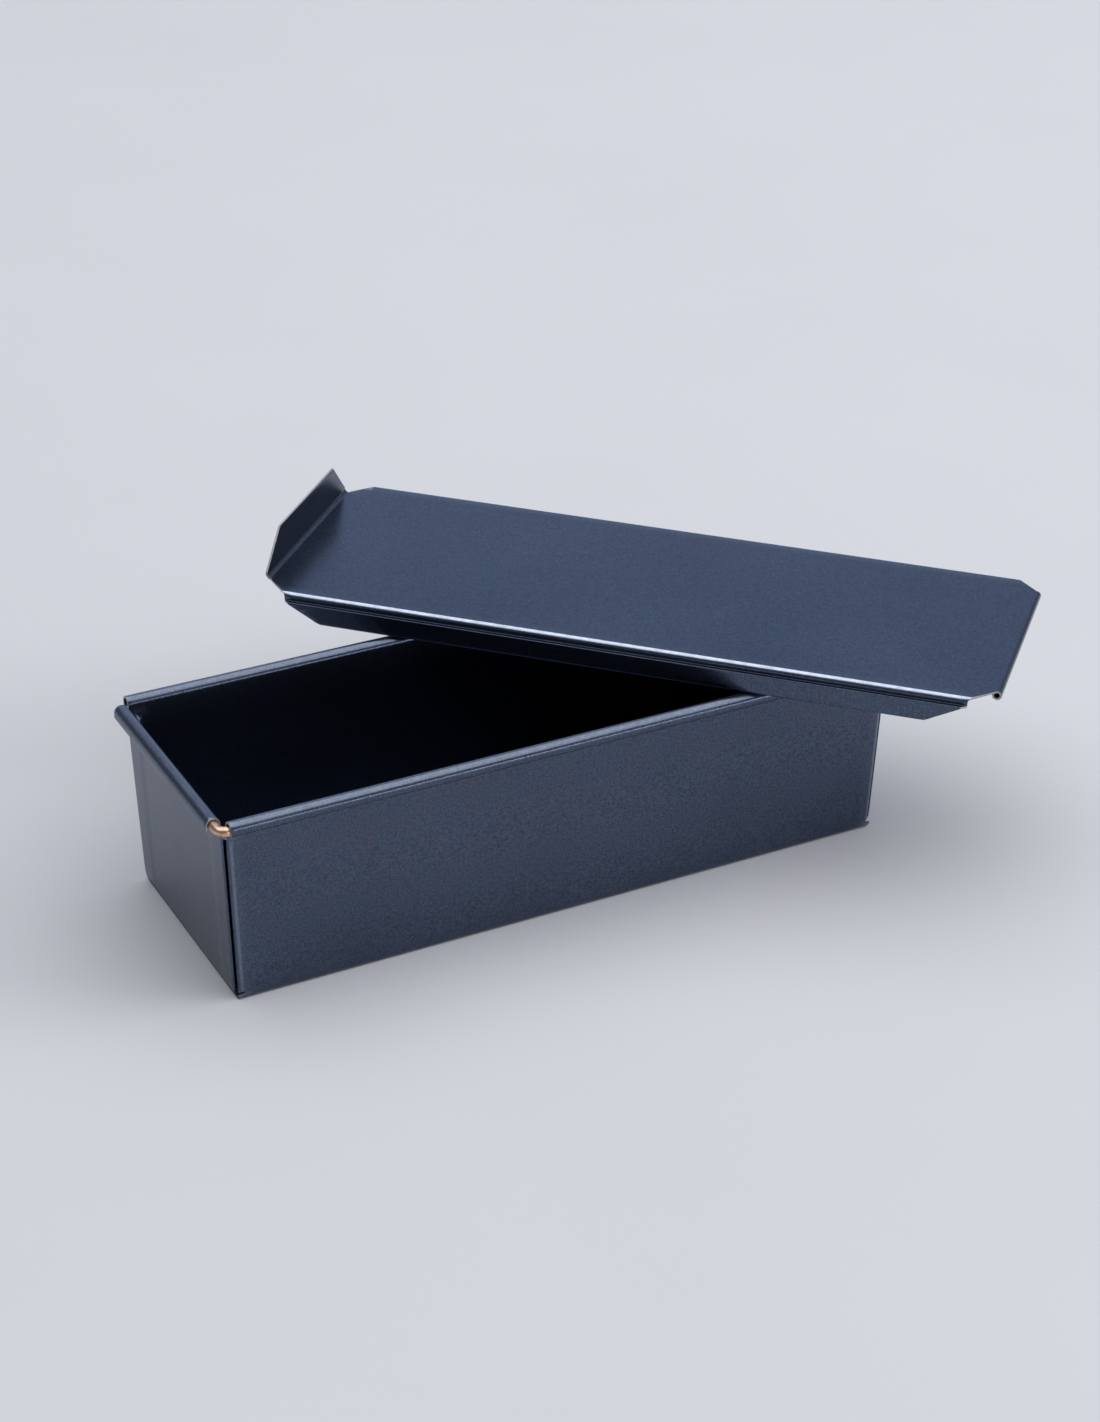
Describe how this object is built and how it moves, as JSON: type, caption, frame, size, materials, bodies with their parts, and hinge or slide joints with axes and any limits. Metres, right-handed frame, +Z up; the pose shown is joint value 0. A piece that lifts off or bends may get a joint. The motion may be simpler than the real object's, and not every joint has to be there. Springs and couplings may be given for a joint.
{
  "type": "lidded loaf pan",
  "caption": "Narrow loaf pan of blued sheet steel with rims rolled over a wire, and a loose flat lid with railed skirts, a pull tab and a curled end, lying askew on the rims.",
  "frame": {"origin": "middle of the pan's base, on its underside", "axes": "+X along the pan towards the end away from the lid's pull tab, +Y across it, +Z up"},
  "size_m": [0.3601, 0.2751, 0.1085],
  "materials": {
    "blued_steel": "satin blued",
    "coppered_wire": "copper plated"
  },
  "bodies": {
    "pan": {"trough_sheet": "blued_steel", "left_end_sheet": "blued_steel", "right_end_sheet": "blued_steel", "rim_wire": "coppered_wire"},
    "lid": {"lid_sheet": "blued_steel"}
  },
  "joints": [
    {"name": "lid_lift", "type": "slide", "parent": "pan", "child": "lid", "axis": [0, 0, 1], "range_m": [0, 0.15]}
  ]
}
